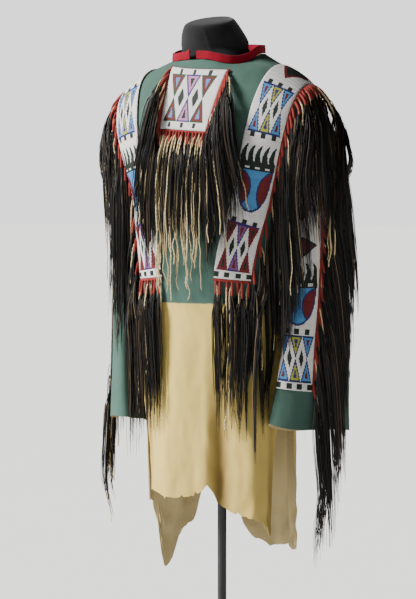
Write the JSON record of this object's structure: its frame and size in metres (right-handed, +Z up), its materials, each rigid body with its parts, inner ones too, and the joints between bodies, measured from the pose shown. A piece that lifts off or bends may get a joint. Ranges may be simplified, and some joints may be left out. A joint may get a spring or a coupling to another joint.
{
  "type": "plains war shirt on dress form",
  "caption": "Painted hide shirt with beaded strips, a beaded neck flap and hair and thong fringes, worn by a limbless dress form on a pole with a round base plate.",
  "frame": {"origin": "centre of the base plate's underside, under the pole, on the floor", "axes": "+Z up along the pole, +X to the wearer's left, -Y to the wearer's front"},
  "size_m": [0.5727, 0.38, 1.499],
  "materials": {
    "hide": "napped",
    "green_hide": "painted and napped",
    "beads": "glossy",
    "wool": "felted",
    "hair": "hair and hide thongs with wrapped tops",
    "form_cloth": "stretched knit",
    "steel": "satin black"
  },
  "bodies": {
    "root": {"front_hide": "hide", "back_hide": "hide", "left_sleeve": "green_hide", "right_sleeve": "green_hide", "collar": "wool", "neck_flap": "beads", "left_shoulder_strip": "beads", "right_shoulder_strip": "beads", "left_sleeve_strip": "beads", "right_sleeve_strip": "beads", "flap_left_fringe": "hair", "flap_right_fringe": "hair", "flap_end_fringe": "hair", "left_shoulder_front_fringe": "hair", "left_shoulder_back_fringe": "hair", "left_shoulder_end_fringe": "hair", "left_sleeve_fringe": "hair", "right_shoulder_front_fringe": "hair", "right_shoulder_back_fringe": "hair", "right_shoulder_end_fringe": "hair", "right_sleeve_fringe": "hair", "dress_form": "form_cloth", "pole": "steel", "pole_socket": "steel", "base_plate": "steel"}
  },
  "joints": []
}
